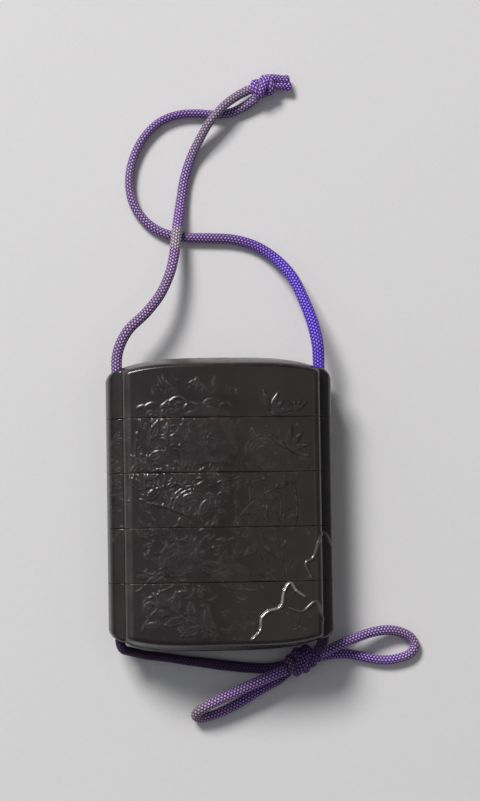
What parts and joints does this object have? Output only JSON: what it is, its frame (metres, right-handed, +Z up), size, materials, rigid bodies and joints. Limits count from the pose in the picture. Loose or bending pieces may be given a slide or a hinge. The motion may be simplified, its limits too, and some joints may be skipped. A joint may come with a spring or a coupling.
{
  "type": "inro case",
  "caption": "Flat lacquered case of nested trays under a lid, with flowers and rocks in low relief, strung on a knotted silk cord tied in a bow.",
  "frame": {"origin": "under the middle of the case, on the surface that its back lies on", "axes": "+Z up out of the carved front, +Y along the case towards the lid, +X to the right seen from the front"},
  "size_m": [0.0861, 0.1783, 0.0242],
  "materials": {
    "lacquer": "semi-gloss black lacquer over wood",
    "silk_cord": "round braided silk, violet with pale flecks"
  },
  "bodies": {
    "root": {"lid": "lacquer", "case_1": "lacquer", "case_2": "lacquer", "case_3": "lacquer", "case_4": "lacquer", "cord_in_left_runner": "silk_cord", "cord_in_right_runner": "silk_cord", "cord_left_strand": "silk_cord", "cord_right_strand": "silk_cord", "cord_under_base": "silk_cord", "cord_right_foot": "silk_cord", "bow_loop_right": "silk_cord", "bow_loop_left": "silk_cord", "end_knot": "silk_cord", "bow_knot": "silk_cord"}
  },
  "joints": []
}
